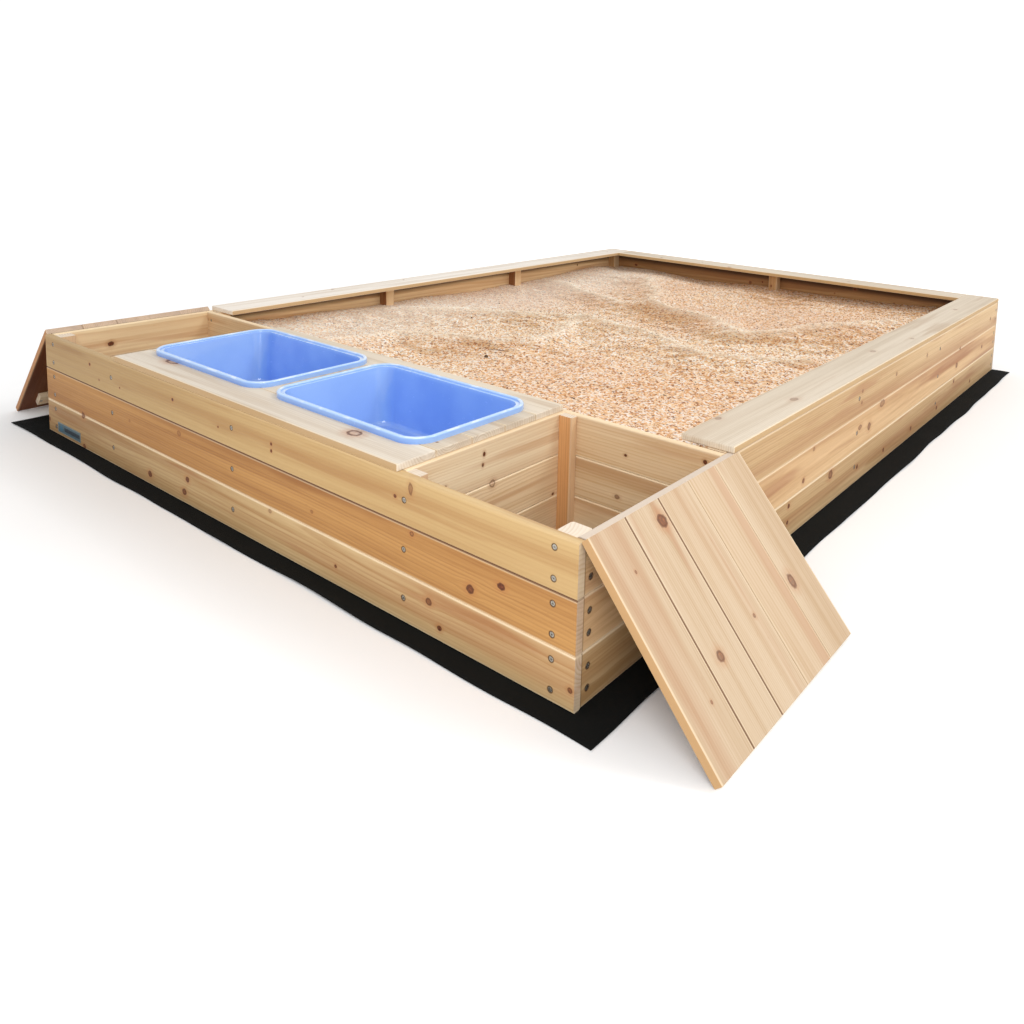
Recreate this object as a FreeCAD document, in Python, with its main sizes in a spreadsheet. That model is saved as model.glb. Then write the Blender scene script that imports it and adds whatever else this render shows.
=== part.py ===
import FreeCAD, Part
import Sketcher
import math
import os
import re

# A wooden sand and water table. A long frame of three courses of boards stands on a ground
# mat. Its front bay has a bin at each end and a deck with two lift-out tubs between them.
# Behind the bay lies the sand pit, with seat boards on three sides. The bins' lids lean on
# the outside of the frame. Millimetres; +X right, +Y from front to back, +Z up. The origin
# is under the middle of the whole object, on the ground.

SIZES = [
    ("outer_width", 1844, "frame, from side to side"),
    ("outer_depth", 2675, "frame, from front to back"),
    ("course_height", 90, "face of one wall board"),
    ("board_thick", 16, "wall boards"),
    ("edge_round", 3, "eased long edges of the wall boards"),
    ("bay_depth", 475, "front bay, to the sand side of its back wall"),
    ("partition_span", 1059, "between the bin faces of the two partitions"),
    ("deck_width", 1044, "deck over the middle of the bay"),
    ("deck_board", 92.6, "width of one deck board"),
    ("deck_thick", 14, "deck boards"),
    ("seat_width", 118, "seat boards"),
    ("seat_thick", 14, "seat boards"),
    ("seat_setback", 7, "from the divider to the front end of the side seats"),
    ("post_size", 40, "square posts"),
    ("post_round", 5, "rounded long edges of the posts"),
    ("small_round", 2, "eased edges of cleats, battens, deck and lid boards"),
    ("post_drop", 2, "top of a bin post below the top of the walls"),
    ("side_post_front", 1160, "front face to the first pit post"),
    ("side_post_rear", 1882, "front face to the second pit post"),
    ("cleat_width", 34, "cleats that hold the partitions"),
    ("cleat_thick", 20, "cleats that hold the partitions"),
    ("batten_width", 40, "battens under the deck and the lids"),
    ("batten_thick", 16, "battens under the deck and the lids"),
    ("end_batten", 28, "width of the deck's end battens"),
    ("tub_length", 472, "rim of a tub, along X"),
    ("tub_width", 332, "rim of a tub, along Y"),
    ("tub_corner", 54, "corner radius of the rim"),
    ("tub_pitch", 515, "from tub to tub"),
    ("tub_shift", 4, "the pair of tubs, left of the frame's middle"),
    ("tub_row", 238, "front face to the middle of the tubs"),
    ("tub_depth", 130, "below the top of the deck"),
    ("tub_wall", 3, "wall of a tub"),
    ("tub_slope", 25, "how far a tub's side leans in on its way down"),
    ("floor_corner", 34, "corner radius of a tub at its floor"),
    ("rim_lap", 14, "rim outside the tub's wall"),
    ("rim_height", 13, "rim above the deck"),
    ("rim_ledge", 5, "width of the step inside the rim"),
    ("rim_step", 8, "step inside the rim, above the deck"),
    ("rim_round", 4.2, "rolled edge of the rim"),
    ("floor_round", 14, "between a tub's wall and its floor"),
    ("hole_clear", 3, "around a tub in its cut-out"),
    ("lid_length", 360, "lid, down the slope"),
    ("lid_width", 472, "lid, along Y"),
    ("lid_thick", 16, "lid boards"),
    ("lid_start", 4, "front face to the lid's front edge"),
    ("batten_inset", 36, "from a lid's end to its batten"),
    ("batten_short", 41, "from a lid's edge to the end of a batten"),
    ("mat_thick", 2, "ground mat"),
    ("mat_front", 45, "mat in front of the frame"),
    ("mat_back", 5, "mat behind the frame"),
    ("mat_left", 138, "mat left of the frame"),
    ("mat_right", 64, "mat right of the frame"),
    ("label_length", 136, "plate on the front wall"),
    ("label_height", 27, "plate on the front wall"),
    ("label_thick", 1, "plate on the front wall"),
    ("label_left", 58, "from the left end of the wall"),
    ("label_low", 10, "from the foot of the wall"),
    ("sand_level", 205, "mean depth of the sand"),
    ("sand_gap", 1, "between the sand and the walls"),
    ("head_width", 8.4, "screw head"),
    ("head_thick", 2.6, "screw head"),
    ("shank_width", 4.4, "screw shank"),
    ("screw_long", 34, "frame screw, with its head"),
    ("screw_short", 27, "lid screw, with its head"),
    ("screw_sink", 0.4, "head below the face of the wood"),
    ("drive_width", 3.6, "hexagon socket in the head"),
    ("drive_depth", 1.5, "hexagon socket in the head"),
    ("drill_clear", 0.15, "between a screw and its hole"),
    ("front_inset", 46, "corner screws, from the frame's side"),
    ("front_spread", 25, "corner screws of the front, from a board's middle"),
    ("side_inset", 32, "corner screws, from the frame's front or back"),
    ("side_spread", 18, "corner screws of the sides, from a board's middle"),
    ("cleat_screw", 12, "front wall's screws, from a partition's bin face"),
    ("divider_rise", 20, "divider's screws above a board's middle"),
    ("inner_rise", 5, "cleats' screws above a board's middle"),
    ("partition_fall", 15, "partitions' screws below a board's middle"),
]
COURSES = 3
DECK_BOARDS = 5
LID_BOARDS = 5

doc = FreeCAD.newDocument("SandAndWaterTable")
sheet = doc.addObject("Spreadsheet::Sheet", "Sizes")
for line, (alias, number, meaning) in enumerate(SIZES, start=1):
    sheet.set("A%d" % line, str(number))
    sheet.setAlias("A%d" % line, alias)
    sheet.set("B%d" % line, meaning)
doc.recompute()

nodes = {}

FRONT = "((mat_front - mat_back - outer_depth) / 2)"
BACK = "((mat_front - mat_back + outer_depth) / 2)"
WALL_TOP = "(mat_thick + %d * course_height)" % COURSES
BAY_INSIDE = "(bay_depth - 2 * board_thick)"
SIDES = {"left": -1, "right": 1}


def formula(text):
    """Turns the sheet's words into an expression."""
    return re.sub(r"\b([a-z]+_[a-z0-9_]+)\b", r"Sizes.\1", text)


def value(text):
    return float(sheet.evalExpression(formula(text)))


def bind(thing, **formulas):
    """Binds properties to the sheet; a double underscore in a name stands for a dot."""
    for name, text in formulas.items():
        thing.setExpression(name.replace("__", "."), formula(text))


def place(thing, x, y, z):
    bind(thing, Placement__Base__x=x, Placement__Base__y=y, Placement__Base__z=z)


def node(label, thing):
    """Gives a finished piece its name."""
    thing.Label = label
    nodes[label] = thing
    return thing


def mirrored(side, middle, width="0"):
    """The low X of a piece whose middle is at middle on the right or -middle on the left."""
    return "%d * (%s) - (%s) / 2" % (SIDES[side], middle, width)


def plank(name, corner, size, ease="edge_round", eased_edges="long", inner=None):
    """A board with eased edges; inner is the board's place inside a tilted body."""
    body = doc.addObject("PartDesign::Body", name)
    block = body.newObject("PartDesign::AdditiveBox", name + "_block")
    bind(block, Length=size[0], Width=size[1], Height=size[2])
    if inner:
        place(block, *inner)
    place(body, *corner)
    doc.recompute()
    lengths = [block.Length.Value, block.Width.Value, block.Height.Value]
    along = lengths.index(max(lengths))
    names = []
    for number, edge in enumerate(block.Shape.Edges, start=1):
        if eased_edges == "all" or abs(edge.Curve.Direction[along]) > 0.9:
            names.append("Edge%d" % number)
    fillet = body.newObject("PartDesign::Fillet", name + "_eased")
    fillet.Base = (block, names)
    bind(fillet, Radius=ease)
    return body


def drilled(name, blank, rows):
    """Cuts from a piece the holes of those screws in the given rows that reach it."""
    doc.recompute()
    room = blank.Shape.BoundBox
    spots = []
    for row in rows:
        reach = FreeCAD.Vector(0, 0, holes[row].Shape.BoundBox.ZMax)
        for spot in screw_places[row]:
            line = Part.makeLine(spot.Base, spot.multVec(reach))
            if room.intersect(line.BoundBox):
                spots.append(spot)
    cut = doc.addObject("Part::Cut", name + "_drilled")
    cut.Base = blank
    cut.Tool = copies(name + "_holes", holes[rows[0]], spots)
    return cut


def copies(name, pattern, places):
    """Places copies of a piece."""
    link = doc.addObject("App::Link", name)
    link.LinkedObject = pattern
    link.ShowElement = False
    link.ElementCount = len(places)
    link.PlacementList = places
    return link


def group(label, pieces):
    """Separate solids of one kind that share a node."""
    compound = doc.addObject("Part::Compound", label + "_group")
    compound.Links = pieces
    return node(label, compound)


# ---------------------------------------------------------------- screws and their holes

def screw(name, length, gap, socket):
    """A screw that points along +Z, its head's face just below Z = 0."""
    body = doc.addObject("PartDesign::Body", name)
    head = body.newObject("PartDesign::AdditiveCylinder", name + "_head")
    bind(head, Radius="head_width / 2 + " + gap)
    shank = body.newObject("PartDesign::AdditiveCylinder", name + "_shank")
    bind(shank, Radius="shank_width / 2 + " + gap, Height="%s + 2 * %s" % (length, gap))
    if socket:
        bind(head, Height="head_thick", Placement__Base__z="screw_sink")
        bind(shank, Placement__Base__z="screw_sink")
        drive = body.newObject("PartDesign::SubtractivePrism", name + "_socket")
        drive.Polygon = 6
        bind(drive, Circumradius="drive_width / 2", Height="drive_depth")
        bind(drive, Placement__Base__z="screw_sink")
    else:
        bind(head, Height="head_thick + 2 * screw_sink", Placement__Base__z="-screw_sink")
    return body


screws = {}
holes = {}
screw_places = {}
frame_screw = screw("frame_screw", "screw_long", "0", True)
frame_hole = screw("frame_hole", "screw_long + screw_sink", "drill_clear", False)
lid_screw = screw("lid_screw", "screw_short", "0", True)
lid_hole = screw("lid_hole", "screw_short + screw_sink", "drill_clear", False)


def screw_row(row, points, direction, pattern=frame_screw, hole=frame_hole, pose=None):
    """Screws at points, which drive in the given direction."""
    turn = FreeCAD.Rotation(FreeCAD.Vector(0, 0, 1), FreeCAD.Vector(*direction))
    places = [FreeCAD.Placement(FreeCAD.Vector(*point), turn) for point in points]
    if pose:
        places = [pose.multiply(spot) for spot in places]
    screws[row] = copies("screws_" + row, pattern, places)
    holes[row] = hole
    screw_places[row] = places


front_y = value(FRONT)
back_y = value(BACK)
half = value("outer_width / 2")
divider_y = front_y + value("bay_depth - board_thick")
bin_x = value("partition_span / 2")
middles = [value("mat_thick + course_height * (%d + 0.5)" % course) for course in range(COURSES)]


def heights(*shifts):
    return [middle + shift for middle in middles for shift in shifts]


corner_x = half - value("front_inset")
spread = value("front_spread")
front_points = [(x, front_y, z) for x in (-corner_x, corner_x) for z in heights(-spread, spread)]
back_points = [(x, back_y, z) for x, y, z in front_points]
cleat_x = bin_x + value("cleat_screw")
front_points += [(x, front_y, z) for x in (-cleat_x, 0, cleat_x) for z in heights(0)]
back_points += [(0, back_y, z) for z in heights(0)]
screw_row("front", front_points, (0, 1, 0))
screw_row("back", back_points, (0, -1, 0))

corner_y = value("side_inset")
spread = value("side_spread")
side_points = [(y, z) for y in (front_y + corner_y, back_y - corner_y)
               for z in heights(-spread, spread)]
inner_posts = ("bay_depth + post_size / 2", "side_post_front", "side_post_rear")
side_points += [(front_y + value(post), z) for post in inner_posts for z in heights(0)]
for side, sign in SIDES.items():
    screw_row(side, [(sign * half, y, z) for y, z in side_points], (-sign, 0, 0))

post_x = half - value("board_thick + post_size / 2")
rise = value("divider_rise")
divider_points = [(x, divider_y, z) for x in (-post_x, post_x) for z in heights(rise)]
screw_row("divider", divider_points, (0, 1, 0))

inner_x = bin_x + value("cleat_width / 2")
sand_y = front_y + value("bay_depth")
rise = value("inner_rise")
inner_points = [(x, sand_y, z) for x in (-inner_x, 0, inner_x) for z in heights(rise)]
screw_row("inner", inner_points, (0, -1, 0))

reach = value("board_thick + cleat_thick / 2")
rows = (front_y + reach, divider_y + value("board_thick") - reach)
fall = value("partition_fall")
partition_points = [(y, z) for y in rows for z in heights(-fall)]
for side, sign in SIDES.items():
    x = sign * (bin_x - value("board_thick"))
    screw_row("partition_" + side, [(x, y, z) for y, z in partition_points], (sign, 0, 0))

# ---------------------------------------------------------------- walls

for course in range(COURSES):
    number = course + 1
    low = "mat_thick + %d * course_height" % course
    for wall, y in (("front", FRONT), ("back", BACK + " - board_thick")):
        blank = plank("%s_blank_%d" % (wall, number), ("-outer_width / 2", y, low),
                      ("outer_width", "board_thick", "course_height"))
        label = "%s_board_%d" % (wall, number)
        node(label, drilled(label, blank, [wall]))
    for side in SIDES:
        x = mirrored(side, "outer_width / 2 - board_thick / 2", "board_thick")
        blank = plank("%s_blank_%d" % (side, number), (x, FRONT + " + board_thick", low),
                      ("board_thick", "outer_depth - 2 * board_thick", "course_height"))
        label = "%s_board_%d" % (side, number)
        node(label, drilled(label, blank, [side]))

        x = mirrored(side, "partition_span / 2 - board_thick / 2", "board_thick")
        blank = plank("%s_partition_blank_%d" % (side, number), (x, FRONT + " + board_thick", low),
                      ("board_thick", BAY_INSIDE, "course_height"))
        label = "%s_partition_board_%d" % (side, number)
        node(label, drilled(label, blank, ["partition_" + side]))

    blank = plank("divider_blank_%d" % number,
                  ("board_thick - outer_width / 2", FRONT + " + bay_depth - board_thick", low),
                  ("outer_width - 2 * board_thick", "board_thick", "course_height"))
    label = "divider_board_%d" % number
    node(label, drilled(label, blank, ["divider", "inner"]))

# ---------------------------------------------------------------- posts and cleats

WALL_HEIGHT = "%d * course_height" % COURSES


def post(name, x, y, height=WALL_HEIGHT):
    """A square post that stands on the mat; x and y are its low corner."""
    return plank(name, (x, y, "mat_thick"), ("post_size", "post_size", height), ease="post_round")


def cleat(name, x, y, width, height):
    """A flat upright strip that stands on the mat."""
    return plank(name, (x, y, "mat_thick"), (width, "cleat_thick", height), ease="small_round")


INSIDE = "outer_width / 2 - board_thick - post_size / 2"
BACK_POSTS = BACK + " - board_thick - post_size"
CORNERS = {
    "front": (FRONT + " + board_thick", WALL_HEIGHT + " - post_drop"),
    "back": (BACK_POSTS, WALL_HEIGHT),
}
PIT_POSTS = {
    "divider_post": FRONT + " + bay_depth",
    "side_post_front": FRONT + " + side_post_front - post_size / 2",
    "side_post_rear": FRONT + " + side_post_rear - post_size / 2",
}
for end, (y, height) in CORNERS.items():
    for side in SIDES:
        label = "corner_post_%s_%s" % (end, side)
        blank = post(label + "_blank", mirrored(side, INSIDE, "post_size"), y, height)
        node(label, drilled(label, blank, [end, side]))

pit_posts = []
for side in SIDES:
    for name, y in PIT_POSTS.items():
        blank = post("%s_blank_%s" % (name, side), mirrored(side, INSIDE, "post_size"), y)
        pit_posts.append(drilled("%s_%s" % (name, side), blank, [side, "divider"]))
group("pit_posts", pit_posts)

blank = post("back_post_blank", "-post_size / 2", BACK_POSTS)
node("back_post", drilled("back_post", blank, ["back"]))

CLEAT_HEIGHT = WALL_HEIGHT + " - post_drop"
CLEAT_ENDS = {
    "front": ("front", FRONT + " + board_thick"),
    "rear": ("inner", FRONT + " + bay_depth - board_thick - cleat_thick"),
}
cleats = []
for side in SIDES:
    x = mirrored(side, "partition_span / 2 + cleat_width / 2", "cleat_width")
    for end, (row, y) in CLEAT_ENDS.items():
        blank = cleat("%s_cleat_blank_%s" % (end, side), x, y, "cleat_width", CLEAT_HEIGHT)
        cleats.append(drilled("%s_cleat_%s" % (end, side), blank, [row, "partition_" + side]))
group("bin_cleats", cleats)

supports = []
for end, (row, y) in CLEAT_ENDS.items():
    blank = cleat("%s_support_blank" % end, "-post_size / 2", y, "post_size",
                  WALL_HEIGHT + " - batten_thick")
    supports.append(drilled("%s_support" % end, blank, [row]))
group("deck_supports", supports)

# ---------------------------------------------------------------- seats

SEAT_FRONT = "(%s + bay_depth + seat_setback)" % FRONT
for side in SIDES:
    x = mirrored(side, "outer_width / 2 - seat_width / 2", "seat_width")
    length = "%s - %s" % (BACK, SEAT_FRONT)
    node("seat_" + side, plank("seat_" + side, (x, SEAT_FRONT, WALL_TOP),
                               ("seat_width", length, "seat_thick"), eased_edges="all"))
node("seat_back", plank("seat_back", ("seat_width - outer_width / 2", BACK + " - seat_width", WALL_TOP),
                        ("outer_width - 2 * seat_width", "seat_width", "seat_thick"),
                        eased_edges="all"))

# ---------------------------------------------------------------- tubs


def rounded_rectangle(body, name, length, width, corner, height):
    """A rectangle with round corners, centred on the body's Z axis."""
    sketch = body.newObject("Sketcher::SketchObject", name)
    plane = [item for item in body.Origin.OriginFeatures if item.Role == "XY_Plane"][0]
    sketch.AttachmentSupport = (plane, [""])
    sketch.MapMode = "FlatFace"
    bind(sketch, AttachmentOffset__Base__z=height)
    far_x = value(length) / 2
    far_y = value(width) / 2
    radius = value(corner)
    near_x = far_x - radius
    near_y = far_y - radius
    up = FreeCAD.Vector(0, 0, 1)
    quarter = math.pi / 2
    runs = [((near_x, -far_y), (-near_x, -far_y)), ((-far_x, -near_y), (-far_x, near_y)),
            ((-near_x, far_y), (near_x, far_y)), ((far_x, near_y), (far_x, -near_y))]
    centres = [(-near_x, -near_y), (-near_x, near_y), (near_x, near_y), (near_x, -near_y)]
    for number, (start, end) in enumerate(runs):
        sketch.addGeometry(Part.LineSegment(FreeCAD.Vector(*start, 0), FreeCAD.Vector(*end, 0)))
        circle = Part.Circle(FreeCAD.Vector(*centres[number], 0), up, radius)
        first = quarter * (2 - number)
        sketch.addGeometry(Part.ArcOfCircle(circle, first, first + quarter))
    for number in range(4):
        straight = 2 * number
        arc = straight + 1
        following = (straight + 2) % 8
        sketch.addConstraint(Sketcher.Constraint("Tangent", straight, 2, arc, 2))
        sketch.addConstraint(Sketcher.Constraint("Tangent", arc, 1, following, 1))
        kind = "Horizontal" if number % 2 == 0 else "Vertical"
        sketch.addConstraint(Sketcher.Constraint(kind, straight))
        if number:
            sketch.addConstraint(Sketcher.Constraint("Equal", 1, arc))
    sketch.addConstraint(Sketcher.Constraint("Symmetric", 1, 3, 5, 3, -1, 1))
    measures = (
        ("corner", Sketcher.Constraint("Radius", 1, radius), corner),
        ("length", Sketcher.Constraint("DistanceX", 2, 1, 6, 1, 2 * far_x), length),
        ("width", Sketcher.Constraint("DistanceY", 0, 1, 4, 1, 2 * far_y), width),
    )
    for title, constraint, text in measures:
        index = sketch.addConstraint(constraint)
        sketch.renameConstraint(index, title)
        bind(sketch, **{"Constraints__" + title: text})
    return sketch


WALL_LENGTH = "(tub_length - 2 * rim_lap)"
WALL_WIDTH = "(tub_width - 2 * rim_lap)"
WALL_CORNER = "(tub_corner - rim_lap)"


def swept(body, kind, name, sketch, length, downward=False):
    """A pad or pocket on a sketch."""
    feature = body.newObject("PartDesign::" + kind, name)
    feature.Profile = sketch
    feature.Reversed = downward
    bind(feature, Length=length)
    doc.recompute()
    return feature


def lofted(body, kind, name, upper, lower):
    """A straight-sided loft from one sketch to another."""
    feature = body.newObject("PartDesign::" + kind, name)
    feature.Profile = upper
    feature.Sections = [lower]
    feature.Ruled = True
    doc.recompute()
    return feature


def inset(text, by):
    """A width less the same margin at both ends."""
    return "(%s - 2 * (%s))" % (text, by)


def edges_where(shape, test):
    """The names of those edges whose bounding box passes a test."""
    return ["Edge%d" % number for number, edge in enumerate(shape.Edges, start=1)
            if test(edge.BoundBox)]


def tub_spot(body, sign, z):
    """Puts a body on the middle of one of the two tubs."""
    place(body, "%d * tub_pitch / 2 - tub_shift" % sign, FRONT + " + tub_row", z)


def tub(label, sign):
    """A tapered tub, whose rim laps over the deck; Z = 0 is the top of the deck."""
    body = doc.addObject("PartDesign::Body", label)
    tub_spot(body, sign, WALL_TOP + " + deck_thick")
    upper = rounded_rectangle(body, label + "_wall", WALL_LENGTH, WALL_WIDTH, WALL_CORNER, "0")
    lower = rounded_rectangle(body, label + "_foot", inset(WALL_LENGTH, "tub_slope"),
                              inset(WALL_WIDTH, "tub_slope"), "floor_corner", "-tub_depth")
    lofted(body, "AdditiveLoft", label + "_casing", upper, lower)
    outline = rounded_rectangle(body, label + "_rim", "tub_length", "tub_width", "tub_corner", "0")
    swept(body, "Pad", label + "_flange", outline, "rim_height")
    ledge = "(rim_lap - rim_ledge)"
    outline = rounded_rectangle(body, label + "_step", inset("tub_length", ledge),
                                inset("tub_width", ledge), "tub_corner - " + ledge, "rim_height")
    swept(body, "Pocket", label + "_ledge", outline, "rim_height - rim_step")
    upper = rounded_rectangle(body, label + "_mouth", inset(WALL_LENGTH, "tub_wall"),
                              inset(WALL_WIDTH, "tub_wall"), WALL_CORNER + " - tub_wall",
                              "rim_step")
    lean = "tub_slope + tub_wall"
    lower = rounded_rectangle(body, label + "_floor", inset(WALL_LENGTH, lean), inset(WALL_WIDTH, lean),
                              "floor_corner - tub_wall", "tub_wall - tub_depth")
    hollow = lofted(body, "SubtractiveLoft", label + "_hollow", upper, lower)
    depth = value("tub_depth")
    floor = value("tub_depth - tub_wall")
    rim = value("rim_height")
    rounds = (
        ("floor_round", lambda box: box.ZMax < -floor + 0.1 and box.ZMin > -floor - 0.1),
        ("floor_round + tub_wall", lambda box: box.ZMax < -depth + 0.1),
        ("rim_round", lambda box: box.ZMin > rim - 0.1),
    )
    base = hollow
    for number, (radius, test) in enumerate(rounds, start=1):
        fillet = body.newObject("PartDesign::Fillet", "%s_round_%d" % (label, number))
        shape = base.Shape
        fillet.Base = (base, edges_where(shape, test))
        bind(fillet, Radius=radius)
        doc.recompute()
        base = fillet
    return node(label, body)


tub("tub_left", -1)
tub("tub_right", 1)

# ---------------------------------------------------------------- deck

openings = []
for side, sign in SIDES.items():
    opening = doc.addObject("PartDesign::Body", "deck_opening_" + side)
    tub_spot(opening, sign, WALL_TOP + " - deck_thick")
    outline = rounded_rectangle(opening, "opening_outline_" + side, WALL_LENGTH + " + 2 * hole_clear",
                                WALL_WIDTH + " + 2 * hole_clear", WALL_CORNER + " + hole_clear", "0")
    swept(opening, "Pad", "opening_prism_" + side, outline, "3 * deck_thick")
    openings.append(opening)

for number in range(1, DECK_BOARDS + 1):
    y = "%s + %d * deck_board" % (FRONT, number - 1)
    piece = plank("deck_blank_%d" % number, ("-deck_width / 2", y, WALL_TOP),
                  ("deck_width", "deck_board", "deck_thick"), ease="small_round", eased_edges="all")
    for side, opening in zip(SIDES, openings):
        cut = doc.addObject("Part::Cut", "deck_cut_%d_%s" % (number, side))
        cut.Base = piece
        cut.Tool = opening
        piece = cut
    node("deck_board_%d" % number, piece)

battens = []
end_x = "partition_span / 2 - board_thick - end_batten / 2"
for name, x, width in (("left", mirrored("left", end_x, "end_batten"), "end_batten"),
                       ("middle", "-batten_width / 2", "batten_width"),
                       ("right", mirrored("right", end_x, "end_batten"), "end_batten")):
    battens.append(plank("deck_batten_" + name,
                         (x, FRONT + " + board_thick", WALL_TOP + " - batten_thick"),
                         (width, BAY_INSIDE, "batten_thick"), ease="small_round"))
group("deck_battens", battens)

# ---------------------------------------------------------------- lids

LID_TILT = "asin(%s / lid_length)" % WALL_TOP
LID_BOARD = "lid_width / %d" % LID_BOARDS


def leaning(thing, sign):
    """Tilts a lid's piece about the wall's top corner; inside it, Z = 0 is the underside."""
    thing.Placement = FreeCAD.Placement(FreeCAD.Vector(), FreeCAD.Rotation(FreeCAD.Vector(0, 1, 0), 45))
    bind(thing, Placement__Rotation__Angle="%d * %s" % (sign, LID_TILT))
    place(thing, "%d * outer_width / 2" % sign, FRONT + " + lid_start", WALL_TOP)


for side, sign in SIDES.items():
    low_end = "0" if sign > 0 else "-lid_length"
    blanks = []
    for number in range(1, LID_BOARDS + 1):
        blank = plank("lid_%s_blank_%d" % (side, number), ("0", "0", "0"),
                      ("lid_length", LID_BOARD, "lid_thick"), ease="small_round",
                      inner=(low_end, "%d * %s" % (number - 1, LID_BOARD), "0"))
        leaning(blank, sign)
        blanks.append(blank)
    doc.recompute()

    row = "lid_" + side
    board_middles = [value("%s * %.1f" % (LID_BOARD, number + 0.5)) for number in range(LID_BOARDS)]
    end_middles = (value("batten_inset + batten_width / 2"),
                   value("lid_length - batten_inset - batten_width / 2"))
    underside = -value("batten_thick")
    points = [(sign * x, y, underside) for x in end_middles for y in board_middles]
    screw_row(row, points, (0, 0, 1), lid_screw, lid_hole, blanks[0].Placement)

    for number, blank in enumerate(blanks, start=1):
        label = "lid_%s_board_%d" % (side, number)
        node(label, drilled(label, blank, [row]))
    battens = []
    for number, x in enumerate(end_middles, start=1):
        low = "%.1f - batten_width / 2" % (sign * x)
        blank = plank("lid_%s_batten_blank_%d" % (side, number), ("0", "0", "0"),
                      ("batten_width", "lid_width - 2 * batten_short", "batten_thick"),
                      ease="small_round", inner=(low, "batten_short", "-batten_thick"))
        leaning(blank, sign)
        battens.append(drilled("lid_%s_batten_%d" % (side, number), blank, [row]))
    group("lid_%s_battens" % side, battens)
    group("lid_%s_screws" % side, [screws[row]])

# ---------------------------------------------------------------- mat, plate, sand, screws


def slab(name, corner, size):
    """A plain block."""
    block = doc.addObject("Part::Box", name)
    bind(block, Length=size[0], Width=size[1], Height=size[2])
    place(block, *corner)
    return block


node("ground_mat", slab("ground_mat", ("-outer_width / 2 - mat_left", FRONT + " - mat_front", "0"),
                        ("outer_width + mat_left + mat_right",
                         "outer_depth + mat_front + mat_back", "mat_thick")))
node("label_plate", slab("label_plate", ("label_left - outer_width / 2", FRONT + " - label_thick",
                                         "mat_thick + label_low"),
                         ("label_length", "label_thick", "label_height")))

sand = slab("sand_block",
            ("board_thick + sand_gap - outer_width / 2", FRONT + " + bay_depth + sand_gap", "mat_thick"),
            ("outer_width - 2 * (board_thick + sand_gap)",
             "outer_depth - bay_depth - board_thick - 2 * sand_gap", "sand_level"))
post_block = ("post_size", "post_size", WALL_HEIGHT)
spaces = [slab("space_back_post", ("-post_size / 2", BACK_POSTS, "mat_thick"), post_block)]
for side in SIDES:
    x = mirrored(side, INSIDE, "post_size")
    for number, y in enumerate((*PIT_POSTS.values(), BACK_POSTS)):
        spaces.append(slab("space_%s_%d" % (side, number), (x, y, "mat_thick"), post_block))
post_spaces = doc.addObject("Part::Compound", "post_spaces")
post_spaces.Links = spaces
cut = doc.addObject("Part::Cut", "sand_cut")
cut.Base = sand
cut.Tool = post_spaces
node("sand_fill", cut)

group("frame_screws", [screws[row] for row in screws if not row.startswith("lid")])

# ---------------------------------------------------------------- checks and files

doc.recompute()
for thing in doc.Objects:
    if {"Invalid", "Error"} & set(thing.State):
        raise RuntimeError("%s did not build: %s" % (thing.Name, thing.State))
for label, thing in nodes.items():
    if thing.Shape.isNull() or not thing.Shape.isValid() or not thing.Shape.Solids:
        raise RuntimeError("%s has no valid shape" % label)

os.makedirs("parts", exist_ok=True)
for label, thing in nodes.items():
    thing.Shape.exportStep("parts/%s.step" % label)
    print("%-28s %2d solids %12.0f mm3" % (label, len(thing.Shape.Solids), thing.Shape.Volume))
print(len(nodes), "nodes")
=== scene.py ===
import math
import random

import bpy
import numpy as np
from mathutils import Matrix, Vector, noise


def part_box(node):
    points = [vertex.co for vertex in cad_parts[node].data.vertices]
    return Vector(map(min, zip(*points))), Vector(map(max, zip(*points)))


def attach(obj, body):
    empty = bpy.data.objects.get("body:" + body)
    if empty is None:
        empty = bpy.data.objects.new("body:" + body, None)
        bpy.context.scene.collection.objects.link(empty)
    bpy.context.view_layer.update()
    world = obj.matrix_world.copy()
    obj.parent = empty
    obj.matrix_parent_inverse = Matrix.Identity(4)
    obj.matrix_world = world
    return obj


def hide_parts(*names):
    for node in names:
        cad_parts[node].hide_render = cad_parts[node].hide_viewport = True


# The looks of a wooden sand and water table: planed boards with their grain and knots, two blue
# tubs, a bed of coarse sand and a black ground cloth. Metres, in the frame of the CAD model.

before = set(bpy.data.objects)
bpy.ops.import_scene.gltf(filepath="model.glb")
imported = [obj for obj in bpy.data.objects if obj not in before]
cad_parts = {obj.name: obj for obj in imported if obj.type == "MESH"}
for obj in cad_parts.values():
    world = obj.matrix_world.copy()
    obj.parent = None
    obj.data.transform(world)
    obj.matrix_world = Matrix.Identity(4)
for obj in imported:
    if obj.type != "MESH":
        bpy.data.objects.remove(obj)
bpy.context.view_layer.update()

CM = 0.01
X_AXIS = Vector((1, 0, 0))
Y_AXIS = Vector((0, 1, 0))
Z_AXIS = Vector((0, 0, 1))
SIDES = {"left": -1, "right": 1}


def colour(red, green, blue):
    """A linear colour from its 8-bit sRGB values."""
    linear = []
    for part in (red, green, blue):
        part /= 255
        linear.append(part / 12.92 if part <= 0.04045 else ((part + 0.055) / 1.055) ** 2.4)
    return (*linear, 1.0)


# ---------------------------------------------------------------- node trees

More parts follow.
